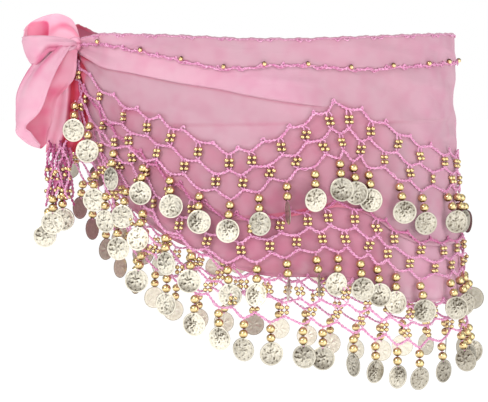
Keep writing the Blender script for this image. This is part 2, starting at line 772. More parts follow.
def make_over_layer(material):
    """The shorter layer, with its tuck. It is pale where the tuck doubles it, and deeper under
    the net and in the tuck's shade."""
    turn = WRAP_TURNS
    top, trim, line, hem = (edge(n, turn) for n in ("top", "trim", "tuck", "over_hem"))
    folded, steps = hem_rows(hem)
    lip = line - TUCK_LIP
    heights = np.concatenate([
        rows_between(top - 0.8, trim, 8), rows_between(trim, line, 14), rows_between(line, lip, 4),
        rows_between(lip, hem + HEM_FOLD, 72), folded,
    ])
    offs = np.full(heights.shape, OVER_OFF)
    offs[-len(folded):] += steps
    offs = offs + tuck_lift(turn[None, :], heights)
    offs = offs + hem_waves(turn[None, :], heights, hem, 0.6)
    near = from_front(turn)
    doubled = ease(lip, line, heights) * ease(20, 2, turn) * (0.23 + 0.17 * ease(0, -40, turn))
    netted = ease(3, -7, heights - edge("net_1", turn)) * (0.03 + 0.13 * ease(46, 24, near))
    netted = netted * ease(-66, -50, near)
    loose_side = 0.14 * ease(38, 60, near)
    low = 0.09 * bump(near, 9, 13) * ease(-100, -134, heights)
    foot = 0.20 * ease(*TUCK_FADES[::-1], turn) * bump(heights, lip - 0.3, 1.3)
    tone = 0.52 + doubled - netted + loose_side - low - foot
    tones = np.clip(chiffon_tone(turn[None, :], heights, tone), 0, 1)
    tones[-len(folded) - 1:] -= 0.09
    piece = wrap_sheet("over_layer", heights, offs, tones, material)
    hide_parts(*stretches("over_layer"))
    return piece


# How far the first rows of the band stand off the figure, up inside the layers and over them.
FOLD_OFFS = (-0.3, 0.0, 1.0, 2.6, 3.3)


def make_turned_band(material):
    """The top hem: it rises inside the layers, rolls over them and comes down outside."""
    turn = WRAP_TURNS
    top, trim = edge("top", turn), edge("trim", turn)
    wander = waver(turn, FOLD_WAVES)
    heights = np.concatenate([
        np.stack([top - 3, top - 0.6, top + 0.1 + wander, top - 0.2 + wander]),
        rows_between(top - 1.0 + wander, trim + 0.6, 12), (trim + 0.6)[None, :], trim[None, :],
    ])
    offs = np.full(heights.shape, BAND_OFF)
    offs[:len(FOLD_OFFS)] = np.array(FOLD_OFFS)[:, None]
    offs[-1] -= 0.9
    middle = np.clip((top - heights) / np.maximum(top - trim, 1.0), 0, 1)
    offs = offs + 0.5 * np.sin(math.pi * middle)
    at_knot = 0.38 * ease(-20, -60, turn)
    at_back_end = 0.12 * ease(BACK_END - 36, BACK_END - 20, turn)
    tone = 0.55 + at_knot - at_back_end + 0.15 * ease(38, 60, from_front(turn))
    tones = chiffon_tone(turn[None, :], heights, tone[None, :])
    piece = wrap_sheet("turned_band", heights, offs, tones, material)
    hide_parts(*stretches("turned_band"))
    return piece


# ---------------------------------------------------------------- crocheted yarn

# Radii of the yarn and of the thread, the length of a stitch, and how far a straight run sags.
YARN = 0.84
THREAD = 0.55
STITCH = 3.3
SAG = 0.7
PLY = 0.27
PLY_SPACING = 1.5


def crochet(pile, path, out, radius=YARN, tone=1.0):
    """A crocheted chain along a path in metres: plies that twist, and a lump for each stitch."""
    spacing = STITCH * MM / 5
    path = resample(rounded(path), spacing)
    along = np.arange(len(path)) * spacing / MM
    out = spread_over(out, len(path))
    sides = 6
    angle = 2 * math.pi * np.arange(sides) / sides
    plies = 0.24 * np.cos(2 * angle[None, :] - 2 * math.pi * along[:, None] / STITCH)
    lumps = 0.14 * np.sin(2 * math.pi * along / STITCH + 1)[:, None]
    uneven = 0.10 * np.sin(along / 4.7 + 2 * np.sin(along / 13))[:, None]
    points, faces = tube(path, out, radius * MM * (1 + plies + lumps + uneven), sides)
    mottled = RANDOM.normal(0, 0.13, (len(path), sides))
    shades = np.clip(tone * (0.76 + 1.2 * plies + 1.2 * lumps + mottled), 0, 1)
    pile.add(points, faces, shades.reshape(-1))


def loose_ply(pile, path, out, tone=0.9):
    """A thin ply that has worked loose from a crocheted chain and winds along it."""
    path = resample(rounded(path), PLY_SPACING * MM)
    out = spread_over(out, len(path))
    side = np.cross(np.gradient(path, axis=0), out)
    side /= np.maximum(np.linalg.norm(side, axis=1, keepdims=True), 1e-9)
    along = np.arange(len(path)) * PLY_SPACING + RANDOM.uniform(0, 20)
    sway = 1.15 * np.sin(along / 2.6 + 1.5 * np.sin(along / 11)) + 0.25 * np.sin(along / 1.3)
    wound = path + (sway[:, None] * side + (0.5 + 0.5 * np.cos(along / 2.6))[:, None] * out) * MM
    points, faces = tube(wound, out, PLY * MM, 3)
    pile.add(points, faces, tone * (0.75 + 0.25 * np.sin(np.repeat(along, 3) / 3.1)))


def thread(pile, path, out, radius=THREAD, tone=0.85):
    """A plain twisted thread between two points, as a slim tube."""
    points, faces = tube(resample(path, 1.6 * MM), out, radius * MM, 5)
    pile.add(points, faces, tone)


# How wide the flat end of a bead is, as an angle from its hole.
BEAD_FLAT = 14


def ball(across, down, rings, sides):
    """Points, faces and tones of a bead with flat ends round its hole, standing on end."""
    polar = np.linspace(math.radians(BEAD_FLAT), math.radians(180 - BEAD_FLAT), rings)
    angle = 2 * math.pi * np.arange(sides) / sides
    wide = across / 2 * np.sin(polar)
    points = np.stack([
        wide[:, None] * np.cos(angle), wide[:, None] * np.sin(angle),
        (down / 2 * np.cos(polar))[:, None] + 0 * angle,
    ], axis=-1).reshape(-1, 3) * MM
    faces = grid_faces(rings, sides, closed=True)
    faces += [list(range(sides))[::-1], list(range((rings - 1) * sides, rings * sides))]
    tones = np.repeat(ease(-0.85, -0.05, np.cos(polar)), sides)
    return points, [face[::-1] for face in faces], tones


def turned(about_up, about_out=0.0, about_side=0.0):
    """Matrices that turn forms about the vertical, then about the way out, then sideways."""
    a, b, c = (np.atleast_1d(np.asarray(v, float)) for v in (about_up, about_out, about_side))
    a, b, c = np.broadcast_arrays(a, b, c)
    zero, one = np.zeros_like(a), np.ones_like(a)
    sines, cosines = [np.sin(v) for v in (a, b, c)], [np.cos(v) for v in (a, b, c)]
    upright = [[cosines[0], -sines[0], zero], [sines[0], cosines[0], zero], [zero, zero, one]]
    rolled = [[cosines[1], zero, sines[1]], [zero, one, zero], [-sines[1], zero, cosines[1]]]
    tipped = [[one, zero, zero], [zero, cosines[2], -sines[2]], [zero, sines[2], cosines[2]]]
    return np.einsum("ijn,jkn,kln->nil", upright, rolled, tipped)


def facing(turn):
    """The angle about the vertical that turns a form's -Y side to face out of the wrap."""
    way = outward(turn)
    return np.arctan2(way[..., 0], -way[..., 1])


# ---------------------------------------------------------------- nets

SMALL_BEAD = 4.0
SMALL_BEAD_LONG = 3.7
# How far apart meshes lie round the back, and the middles of a cluster's beads.
PITCH = 24.0
CLUSTER_WIDE = 4.1
CLUSTER_HIGH = 3.9

# How far down a net each of its rows lies, from the edge it is sewn to, down to its coins.
A_VALLEY, A_CLUSTER = 0.13, 0.30
B_PEAK, B_VALLEY, B_CLUSTER = 0.44, 0.57, 0.71
C_PEAK, C_VALLEY = 0.83, 1.0
# The least depth of net that has room for clusters, and how far, in degrees, a net runs past its
# first mesh.
LEAST_NET = 25.3
NET_PAST = 3.0

# How far round each net's top row is drawn from the coins below it, in degrees, by turn.
UPPER_LEAN = [(-80, 5), (-68, 8), (-51, 5), (-38, 1), (-29, 0), (-20, -1), (-11, -1), (-3, -3),
              (5, -2.4), (13, -3.6), (21, -4.4), (25, -2.2), (30, 1.1), (38, 0.8), (48, 1),
              (64, -3), (80, 0), (FULLEST, 0)]
LOWER_LEAN = [(-80, 0), (-10, 0), (5, -1.2), (15, -1), (24, -3), (38, -3.5), (64, -3),
              (FULLEST, 0)]

# Each net: the edge it is sewn to, the row its coins hang in, how high it starts over that edge,
# how far its yarn and its coins stand off the figure, its first tone, the turns of its meshes
# down the front, where its coins start, and its lean.
Net = namedtuple("Net", "number top row lap off coin_off first_tone meshes first_coin lean")
NETS = [
    Net(1, "net_1", "row_1", 0.0, 3.9, 8.2, 1.0,
        (-79.5, -68, -51.5, -39, -29.7, -20.2, -11, -3, 5, 12.9, 20.6, 24.9, 29.8, 39.8, 49.2, 65),
        -80, UPPER_LEAN),
    Net(2, "over_hem", "row_2", 5.5, 3.4, 6.2, 0.45,
        (-75, -66, -56, -46, -38.5, -30.5, -22, -12, -3.5, 4.6, 13.2, 19.9, 26, 31.2, 37.6, 47, 63),
        -47, UPPER_LEAN),
    Net(3, "under_hem", "row_3", 1.0, 1.6, 2.6, 0.8,
        (-75, -64, -57, -49.5, -39.2, -30.2, -21, -14, -7, 0.2, 9, 14.8, 23.7, 30.6, 37.2, 45, 56,
         70), -65, LOWER_LEAN),
]
# The turn at which every net's meshes end behind the knot.
LAST_MESH = 2 * FULLEST + 74


def mesh_turns(net):
    """Turns of a net's meshes: as worn down the front, and evenly spaced on round the back."""
    turn = np.arange(net.meshes[-1], LAST_MESH, 0.25)
    path = place(turn, edge(net.row, turn), net.off)
    along = length_along(path) / MM
    count = int(round(along[-1] / PITCH))
    even = np.interp(np.linspace(0, along[-1], count + 1), along, turn)
    return np.concatenate([net.meshes, even[1:]])


def in_net(net, turn, share):
    """Turn and height of a spot in a net: the turn of the coins below it, and how far down it
    lies."""
    places, leans = zip(*net.lean)
    side = np.where(turn <= FULLEST, 1, -1)
    lean = side * smooth_through(places, leans, from_front(turn))
    top, low = edge(net.top, turn + lean) + net.lap, edge(net.row, turn)
    return turn + lean * (1 - share), top + (low - top) * share


def zigzag(net, turns, halves, peak, valley, valleys_at_coins):
    """Turn and height of every corner of one crocheted row, from end to end of the wrap."""
    at_coins, between = (valley, peak) if valleys_at_coins else (peak, valley)
    corners = [(t, at_coins) for t in turns] + [(t, between) for t in halves]
    corners.sort()
    ends = [(turns[0] - NET_PAST, peak)]
    if net.number == 1 and peak == 0.0:
        ends = [(FRONT_END - GATHER_TURNS, peak)] + ends
    corners = ends + corners + [(2 * FULLEST - t, s) for t, s in ends[::-1]]
    turn, share = np.array(corners).T
    return in_net(net, turn, share)


def sagging(turn, height, sag):
    """Points along straight runs between corners, each run with a little sag."""
    steps = 8
    part = np.arange(steps) / steps
    turns = (turn[:-1, None] + np.diff(turn)[:, None] * part).reshape(-1)
    heights = height[:-1, None] + np.diff(height)[:, None] * part - 4 * sag * part * (1 - part)
    return np.append(turns, turn[-1]), np.append(heights.reshape(-1), height[-1])


def crochet_rows(strands, net, turns, halves):
    """The three zigzag rows of a net, its two ends, and the picots along its sewn edge."""
    rows = (
        (0.0, A_VALLEY, True, net.first_tone),
        (B_PEAK, B_VALLEY, False, 1.0),
        (C_PEAK, C_VALLEY, True, 1.0),
    )
    for peak, valley, at_coins, tone in rows:
        turn, height = zigzag(net, turns, halves, peak, valley, at_coins)
        height[2:-2] += RANDOM.uniform(-0.9, 0.9, len(height) - 4)
        turn, height = sagging(turn, height, SAG)
        row = place(turn, height, net.off)
        crochet(strands, row, outward(turn), tone=tone)
        loose_ply(strands, row, outward(turn), tone)
    for turn in (turns[0] - NET_PAST, 2 * FULLEST - turns[0] + NET_PAST):
        side = np.linspace(0, 0.9, 12)
        sway = 0.5 * np.sin(side * 9 + net.number)
        turns_down, heights = in_net(net, turn, side)
        crochet(strands, place(turns_down + sway, heights, net.off), outward([turn]))
    for turn in halves:
        picot(strands, *in_net(net, turn, 0.0), net.off, net.first_tone)


def make_net(net, yarn, gold):
    """One net: three crocheted rows, pairs of threads between them, and clusters of beads."""
    turns = mesh_turns(net)
    halves = (turns[1:] + turns[:-1]) / 2
    halves = halves + RANDOM.uniform(-0.5, 0.5, len(halves))
    strands, beads = Pile(), Pile()
    crochet_rows(strands, net, turns, halves)
    moves, ways = [], []
    for columns, start, middle, end in (
        (turns, A_VALLEY, A_CLUSTER, B_PEAK), (halves, B_VALLEY, B_CLUSTER, C_PEAK)
    ):
        for turn in columns:
            tall = in_net(net, turn, 0.0)[1] - in_net(net, turn, 1.0)[1]
            if tall < LEAST_NET:
                continue
            cluster(strands, net, turn, (start, middle, end), moves, ways)
    points, faces, tones = ball(SMALL_BEAD, SMALL_BEAD_LONG, 6, 10)
    beads.add_copies(points, faces, np.concatenate(ways), np.array(moves), tones)
    piece = strands.make(f"net_{net.number}", yarn)
    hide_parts(*stretches(f"net_{net.number}"))
    return turns, piece, beads.make(f"small_beads_{net.number}", gold)


def picot(pile, turn, height, off, tone):
    """A little loop of yarn that stands on a crocheted row."""
    lean, tall = RANDOM.uniform(-0.4, 0.4), RANDOM.uniform(2.2, 3.6)
    wide = RANDOM.uniform(0.35, 0.7)
    turns = turn + np.array([-wide, -wide * 0.8 + lean, lean, wide * 0.8 + lean, wide])
    heights = height + np.array([-0.3, tall * 0.6, tall, tall * 0.6, -0.3])
    crochet(pile, place(turns, heights, off + 0.3), outward([turn]), radius=0.6, tone=tone)


def cluster(pile, net, turn, shares, moves, ways):
    """Two threads side by side, from a valley through two beads each to the peak below."""
    start, middle, end = (in_net(net, turn, share) for share in shares)
    twist = RANDOM.normal(0, 0.28)
    edge_on = 1.35 if RANDOM.random() < 0.10 else RANDOM.normal(0, 0.25)
    way = outward(middle[0])
    along = np.array([-way[1], way[0], 0.0])
    across = math.cos(edge_on) * along + math.sin(edge_on) * way
    centre = place(*middle, net.off + 0.5)
    top, bottom = place(*start, net.off), place(*end, net.off)
    up = np.array([0, 0, 1.0])
    tilt = up * math.cos(twist) + across * math.sin(twist)
    for side in (-1, 1):
        column = centre + across * side * CLUSTER_WIDE / 2 * MM
        beads = [column + tilt * level * CLUSTER_HIGH / 2 * MM for level in (1, -1)]
        path = np.array([
            top + across * side * 1.1 * MM, beads[0] + up * 3.2 * MM, beads[0], beads[1],
            beads[1] - up * 1.8 * MM, bottom + across * side * 0.4 * MM,
        ])
        thread(pile, path, way)
        for bead in beads:
            moves.append(bead)
            ways.append(turned(facing(middle[0]), twist))


# ---------------------------------------------------------------- coins

LARGE_BEAD = 7.4
# The room that a coin takes up as it turns, and how thick it is.
COIN_ROOM = 19.2
COIN_THICK = 0.55
# Radii of the rings of points on a coin's face and back, and how many points are in a ring.
FACE_RINGS = np.array([0, 0.8, 1.5, 2.2, 2.9, 3.6, 4.3, 5.0, 5.7, 6.4, 6.9, 7.4, 7.9, 8.5, 9.0, 9.5])
BACK_RINGS = np.array([9.5, 8.4, 6.0, 3.0, 0.0])
BACK_TONES = [0.5, 0.95, 0.8, 0.9]
COIN_AROUND = 45
# Radii of the rosette's three rings of leaves, the ring of pits, the hole and the rim.
LEAF_RINGS = (2.0, 3.7, 5.3)
PITS_AT = 7.4
HOLE_AT = 7.9
RIM_AT = 8.9

Leaf = namedtuple("Leaf", "x z way_x way_z long strength")


def rosette_leaves(petals, wear):
    """Short leaves in three rings, each out of its place and worn in its own way."""
    leaves = []
    for petal in range(petals):
        for ring in LEAF_RINGS:
            staggered = 0.5 * (ring == LEAF_RINGS[1])
            where = 2 * math.pi * (petal + staggered + wear.uniform(-0.25, 0.25)) / petals
            way = where + wear.uniform(-0.9, 0.9)
            leaves.append(Leaf(ring * math.sin(where), ring * math.cos(where), math.sin(way),
                               math.cos(way), wear.uniform(0.8, 1.5), wear.uniform(0.1, 1.1)))
    return leaves


def worn_rosette(leaves, x, z):
    """How high the rosette stands at a spot, from 0 to about 1."""
    high = 0.7 * np.exp(-((x / 1.1) ** 2) - (z / 0.8) ** 2)
    for leaf in leaves:
        along = (x - leaf.x) * leaf.way_x + (z - leaf.z) * leaf.way_z
        beside = (x - leaf.x) * leaf.way_z - (z - leaf.z) * leaf.way_x
        high = high + leaf.strength * np.exp(-((along / leaf.long) ** 4) - (beside / 0.58) ** 2)
    return high


def coin_face(petals, wear):
    """Points and tones of a coin's stamped face: a thin rim, a ring of punched pits, a hole for
    the thread, and a rosette with tarnish in the hollows beside it."""
    angle = 2 * math.pi * np.arange(COIN_AROUND) / COIN_AROUND
    r, a = np.meshgrid(FACE_RINGS, angle, indexing="ij")
    leaves = rosette_leaves(petals, wear)
    x, z = r * np.sin(a), r * np.cos(a)
    rosette = worn_rosette(leaves, x, z)
    beside = worn_rosette(leaves, x + 0.7, z - 0.7)
    pits = (np.arange(COIN_AROUND) % 4 == 2) * wear.uniform(0.3, 1.0, COIN_AROUND)
    pitted = bump(r, PITS_AT, 0.5) * pits[None, :]
    hole = bump(r, HOLE_AT, 0.7) * (np.arange(COIN_AROUND) == 0)[None, :]
    rim = bump(r, RIM_AT, 0.45)
    high = 0.28 * rosette - 0.22 * pitted - 0.3 * hole + 0.30 * rim - 0.012 * (r - 4) ** 2
    tarnish = wear.uniform(0.1, 0.55)
    dull_side = tarnish * ease(-0.4, 1.0, np.cos(a - wear.uniform(0, 6))) * ease(1.0, 6.0, r)
    spots = wear.normal(0, 0.12, r.shape) * ease(8.4, 7.0, r)
    tone = 0.78 + 0.42 * rosette - (0.80 + tarnish) * beside - 0.8 * pitted - 1.6 * hole
    tone = tone + spots + 0.2 * rim - 0.25 * bump(r, 8.2, 0.3) - dull_side * (1 - 0.7 * rim)
    tone[-1] = 0.45
    face = np.stack([r * np.sin(a), -COIN_THICK / 2 - high, r * np.cos(a)], axis=-1)
    return face, np.clip(tone, 0.0, 1.0)


def coin_form(number, petals):
    """A stamped coin that hangs by a hole near its rim. Its points lie round its middle, with its
    face towards -Y, and its back shows the face's work faintly."""
    face, tone = coin_face(petals, np.random.default_rng(number))
    angle = 2 * math.pi * np.arange(COIN_AROUND) / COIN_AROUND
    r, a = np.meshgrid(BACK_RINGS, angle, indexing="ij")
    dish = -0.25 * bump(r, 3.5, 2.0) * (0.5 + 0.5 * np.cos(petals * a + r))
    back = np.stack([r * np.sin(a), COIN_THICK / 2 + 0 * r + dish, r * np.cos(a)], axis=-1)
    rows = np.concatenate([face[1:], back[:-1]])
    points = np.concatenate([rows.reshape(-1, 3), face[0, :1], back[-1, :1]]) * MM
    faces = grid_faces(len(rows), COIN_AROUND, closed=True)
    middle, back_middle = len(rows) * COIN_AROUND, len(rows) * COIN_AROUND + 1
    low = (len(rows) - 1) * COIN_AROUND
    faces += [[middle, i, (i + 1) % COIN_AROUND] for i in range(COIN_AROUND)]
    faces += [[back_middle, low + (i + 1) % COIN_AROUND, low + i] for i in range(COIN_AROUND)]
    tones = np.concatenate([tone[1:].reshape(-1), np.repeat(BACK_TONES, COIN_AROUND), [0.9, 0.8]])
    return points, faces, tones


# Turns of the coins that hang edge on down the front, for each row. A few more do round the back.
EDGE_ON = {1: (4.8,), 2: (4.6, 12.5), 3: (22.3, 68.2), "tail": ()}
# How far a coin that turns edge on stands off the cloth, as a share of its radius, for each row.
STANDS_OFF = {1: 0.9, 2: 0.75, 3: 0.4, "tail": 0.4}
# How far below the net a coin's hole and its middle hang, and where the two beads are on the way.
HOLE_DROP = 16.4
COIN_DROP = 24.2
BEAD_SHARES = (0.27, 0.72)
# How far pendants on the bunched net near the knot are pushed out in front of it.
BUNCHED_OUT = 9
# The stampings differ in their petals, and the coins of each in how bright they are.
PETALS = (6, 5, 7, 6, 5, 8, 7)
POLISHES = (1.22, 0.88, 0.66)


def pendant_layout(number, turns):
    """How each coin hangs: its turn about the vertical, its swing and its lean."""
    count = len(turns)
    spin = RANDOM.normal(0, 0.30, count)
    on_edge = (RANDOM.random(count) < 0.11) & (turns > 80)
    for turn in EDGE_ON[number]:
        on_edge[np.argmin(np.abs(turns - turn))] = True
    spin = np.where(on_edge, RANDOM.choice([-1, 1], count) * RANDOM.uniform(1.1, 1.4, count), spin)
    return spin, RANDOM.normal(0, 0.06, count), RANDOM.normal(0.03, 0.05, count)


def make_pendants(number, tops, ways, off, turns, gold, metal, strands_pile):
    """A row of pendants: each is a thread, two large beads and a coin that turns on it. Near the
    knot the net is bunched, and its pendants swing round to hang in front."""
    spin, swing, lean = pendant_layout(number, turns)
    swung = 0.9 * ease(-52, -70, turns)
    face_way = np.arctan2(ways[:, 0], -ways[:, 1])
    spin = spin - np.maximum(swung, 0.5 * ease(90, 60, np.abs(turns))) * face_way
    front = np.array([0.0, -1.0, 0.0])
    down = np.array([0, 0, -1.0])
    side = np.stack([-ways[:, 1], ways[:, 0], 0 * ways[:, 0]], axis=-1)
    clear = ways * (1 - swung)[:, None] + front * swung[:, None]
    push = (COIN_ROOM / 2 * np.abs(np.sin(spin)) * STANDS_OFF[number] + off)[:, None] * clear
    tops = tops + swung[:, None] * front * BUNCHED_OUT * MM
    hang = down + swing[:, None] * side
    hole = tops + hang * HOLE_DROP * MM + push * 0.85 * MM
    centres = tops + hang * COIN_DROP * MM + push * MM
    beads, coins = Pile(), Pile()
    points, faces, tones = ball(LARGE_BEAD, LARGE_BEAD * 0.96, 9, 14)
    for share in BEAD_SHARES:
        jitter = RANDOM.uniform(-0.25, 0.25, (len(tops), 3)) * MM
        moves = tops + (hole - tops) * share + jitter
        beads.add_copies(points, faces, turned(face_way, swing), moves, tones)
    for start, end, way in zip(tops, hole, ways):
        thread(strands_pile, np.array([start, (start + end) / 2, end]), way, 0.6, 0.9)
    for style, petals in enumerate(PETALS):
        mine = np.arange(style, len(tops), len(PETALS))
        points, faces, tones = coin_form(style, petals)
        for first, polish in enumerate(POLISHES):
            these = mine[first::len(POLISHES)]
            if len(these) == 0:
                continue
            ways_of = turned(face_way[these] + spin[these], -swing[these], lean[these])
            coins.add_copies(points, faces, ways_of, centres[these], tones * polish)
    return (
        beads.make(f"large_beads_{number}", gold),
        coins.make(f"coin_row_{number}", metal, sharp=50.0),
    )


def make_coin_rows(net, turns, yarn, gold, metal):
    """The pendants along a net's lowest row, and the threads that tie them on."""
    ties = Pile()
    turns = turns[(turns > net.first_coin) & (turns < 2 * FULLEST - net.first_coin)]
    turns, heights = in_net(net, turns, C_VALLEY)
    tops = place(turns, heights - 0.5, net.off)
    ways = outward(turns)
    beads, coins = make_pendants(
        net.number, tops, ways, net.coin_off - net.off, turns, gold, metal, ties
    )
    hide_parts(*stretches(f"coins_{net.number}"))
    return beads, coins, ties.make(f"coin_ties_{net.number}", yarn)


# ---------------------------------------------------------------- edgings

# The cord's beads: their size, how far apart they are, and their turns down the front.
EDGING_BEAD = 4.2
EDGING_BEAD_GAP = 34.4
FRONT_BEADS = (-61.7, -40.6, -26.2, -13.3, -1.5, 11.2, 24.2, 38.7, 54.5, 69.6)
# How far apart the pairs of small loops on the top fold are, and the two loops of a pair.
TOP_PICOT_GAP = 31.0
PAIR_TURNS = 2.6
# Radii of the yarns along the top fold, in the cord, and of the finer one beside it.
TOP_YARN = 0.30
CORD_YARN = 0.66
SECOND_YARN = 0.40


def spaced_turns(gap, name, start=FRONT_END):
    """Turns a given length apart along one of the edges."""
    turn = np.arange(start, BACK_END, 0.5)
    path = place(turn, edge(name, turn), BAND_OFF)
    along = length_along(path) / MM
    return np.interp(np.arange(gap, along[-1], gap), along, turn)


def make_edgings(yarn, gold):
    """A fine thread along the top fold, and a loose chain with beads along the band's edge."""
    turn = np.linspace(FRONT_END - GATHER_TURNS, BACK_END + GATHER_TURNS, 900)
    ways = outward(turn)
    top = Pile()
    height = edge("top", turn) - 1.3 + waver(turn, FOLD_WAVES)
    crochet(top, place(turn, height, BAND_OFF + 0.25), ways, TOP_YARN, 0.9)
    for t in spaced_turns(TOP_PICOT_GAP, "top"):
        for beside in (0.0, PAIR_TURNS):
            picot_down(top, t + beside, float(edge("top", t)) - 1.4)
    low = Pile()
    height = edge("trim", turn) + waver(turn, CORD_WAVES)
    chain = place(turn, height, BAND_OFF + 0.7)
    crochet(low, chain, ways, CORD_YARN, 0.95)
    loose_ply(low, chain, ways, 0.6)
    height = height + 0.9 * np.sin(turn * 1.1 + 1) - 0.7
    crochet(low, place(turn, height, BAND_OFF + 0.6), ways, SECOND_YARN, 0.7)
    beads = Pile()
    at = np.concatenate([FRONT_BEADS, spaced_turns(EDGING_BEAD_GAP, "trim", FRONT_BEADS[-1])])
    points, faces, _ = ball(EDGING_BEAD, EDGING_BEAD * 0.85, 7, 12)
    rolls = turned(facing(at), RANDOM.uniform(0.9, 2.2, len(at)))
    spots = place(at, edge("trim", at) + 1.8, BAND_OFF + 2.0)
    lit = ease(-0.9, 0.1, points[:, 0] / points[:, 0].max())
    beads.add_copies(points, faces, rolls, spots, lit)
    for t in spaced_turns(EDGING_BEAD_GAP / 2, "trim"):
        picot(low, t, float(edge("trim", t)), BAND_OFF + 0.6, 0.9)
    pieces = [top.make("top_edging", yarn), low.make("beaded_edging", yarn)]
    for piece in pieces:
        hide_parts(*stretches(piece.name))
    return pieces + [beads.make("edging_beads", gold)]


def picot_down(pile, turn, height):
    """A small loop that hangs on the outside of the top fold."""
    lean, tall = RANDOM.uniform(-0.4, 0.4), RANDOM.uniform(1.6, 3.0)
    turns = turn + np.array([-0.9, -0.4 + lean, lean, 0.4 + lean, 0.9])
    heights = height - np.array([0.0, tall * 0.7, tall, tall * 0.7, 0.0])
    crochet(pile, place(turns, heights, BAND_OFF + 0.8), outward([turn]), radius=0.42, tone=1.0)


# ---------------------------------------------------------------- the bow

# The knot's middle, and half its length, depth and height.
KNOT_CENTRE = (-159.6, -26.5, -7.4)
KNOT_HALVES = (5.4, 7.4, 5.6)

# A loop, from the knot out. At each crossing its cloth runs from the front lip round the fold to
# the back lip.
Crossing = namedtuple("Crossing", "lip fold back")
UPPER_LOOP = [
    Crossing((-157.5, -33, -6), (-157.5, -32, -10), (-156, -20, -4)),
    Crossing((-163, -36, -4), (-163, -35, -10.5), (-159, -16, 6)),
    Crossing((-170, -39, -2.5), (-170, -36, -10), (-163, -14, 13)),
    Crossing((-178, -42, -1.5), (-178, -38, -10.5), (-169, -14, 16.5)),
    Crossing((-184, -44, -1), (-184, -39, -18), (-176, -14, 18)),
    Crossing((-190, -44, -1), (-190, -38, -24.5), (-185, -13, 16.5)),
    Crossing((-196, -42, -1), (-195, -35, -22.5), (-194, -12, 13)),
    Crossing((-200.5, -37, -1.5), (-199.5, -32, -15), (-199.5, -13, 9)),
    Crossing((-202.5, -30, -2), (-203, -27, -5), (-202, -20, 4)),
]
DROOPING_LOOP = [
    Crossing((-160, -35, -7), (-164, -34, -6), (-157, -30, -9)),
    Crossing((-163, -40, -11), (-176, -37, -9), (-157.5, -30, -14)),
    Crossing((-167, -45, -18), (-185, -39, -18), (-158, -30, -21)),
    Crossing((-172, -49, -27), (-193, -40.5, -27), (-158.5, -29, -29)),
    Crossing((-176, -52, -36), (-200, -42, -38), (-161, -28, -37)),
    Crossing((-179.5, -54, -45), (-205, -42, -49), (-167, -27.5, -44)),
    Crossing((-183, -55, -56), (-206, -42, -61), (-174, -27.5, -52)),
    Crossing((-188, -55, -65), (-206, -42, -71), (-176.5, -28, -62)),
    Crossing((-198, -52, -75), (-203.5, -41, -80), (-178, -28, -71)),
    Crossing((-194, -51, -80), (-199.5, -40, -87), (-181, -29, -79)),
    Crossing((-190, -47, -86), (-194, -38, -91), (-182, -30, -85)),
    Crossing((-187, -42, -90), (-187, -36, -93), (-183, -31, -89)),
]

# The tail's two edges, from the knot down.
Hang = namedtuple("Hang", "left right")
TAIL = [
    Hang((-168, -24, -12), (-157.5, -21, -12)),
    Hang((-173, -24, -28), (-154, -22, -28)),
    Hang((-177, -24, -48), (-149.5, -25, -48)),
    Hang((-180, -23, -68), (-149, -26, -68)),
    Hang((-183, -22, -86), (-153, -24, -86)),
    Hang((-184.5, -21, -97), (-159, -21, -97)),
]

# Gathers along a loop: where across it they start, how they drift, their rise and half width,
# and how far along the loop they last.
Gather = namedtuple("Gather", "across drift rise spread lasts")
UPPER_GATHERS = [
    Gather(0.08, 0.02, 1.4, 0.025, 0.90),
    Gather(0.19, 0.03, -2.0, 0.030, 0.95),
    Gather(0.30, 0.04, 2.2, 0.030, 0.85),
    Gather(0.40, 0.02, -1.9, 0.035, 0.90),
    Gather(0.56, -0.02, 2.2, 0.035, 1.00),
    Gather(0.66, -0.03, -2.6, 0.030, 1.00),
    Gather(0.75, -0.03, 2.6, 0.030, 0.95),
    Gather(0.87, -0.02, -2.0, 0.028, 0.90),
]
DROOPING_GATHERS = [
    Gather(0.06, 0.00, 1.0, 0.020, 0.60),
    Gather(0.14, 0.04, -1.6, 0.026, 0.60),
    Gather(0.24, 0.06, 2.2, 0.036, 0.85),
    Gather(0.35, 0.05, -2.4, 0.030, 0.75),
    Gather(0.46, 0.03, 2.4, 0.032, 0.90),
    Gather(0.58, -0.01, -2.4, 0.030, 0.85),
    Gather(0.70, -0.03, 2.4, 0.030, 0.80),
    Gather(0.83, -0.02, -2.0, 0.025, 0.80),
]
# The hems along a loop's lips, as a share of its cut, and how thick the bow's cloth is.
HEM_WIDE = 0.035
WALL = 0.6


def loop_grid(crossings, steps, across):
    """Points of a loop in millimetres: half an ellipse at each crossing, from lip to back."""
    at = np.linspace(0, len(crossings) - 1, steps + 1)
    lip, fold, back = (
        smooth_through(range(len(crossings)), [getattr(c, part) for c in crossings], at)
        for part in ("lip", "fold", "back")
    )
    angle = math.pi * (0.5 - np.arange(across + 1) / across)[None, :, None]
    middle, half = (lip + back)[:, None, :] / 2, (lip - back)[:, None, :] / 2
    fold = fold[:, None, :]
    return fold + (middle - fold) * (1 - np.cos(angle)) + half * np.sin(angle)


def grid_normals(grid):
    """The way straight out of a grid's surface at each of its points."""
    along, across = np.gradient(grid, axis=0), np.gradient(grid, axis=1)
    normal = np.cross(along, across)
    return normal / np.maximum(np.linalg.norm(normal, axis=-1, keepdims=True), 1e-9)


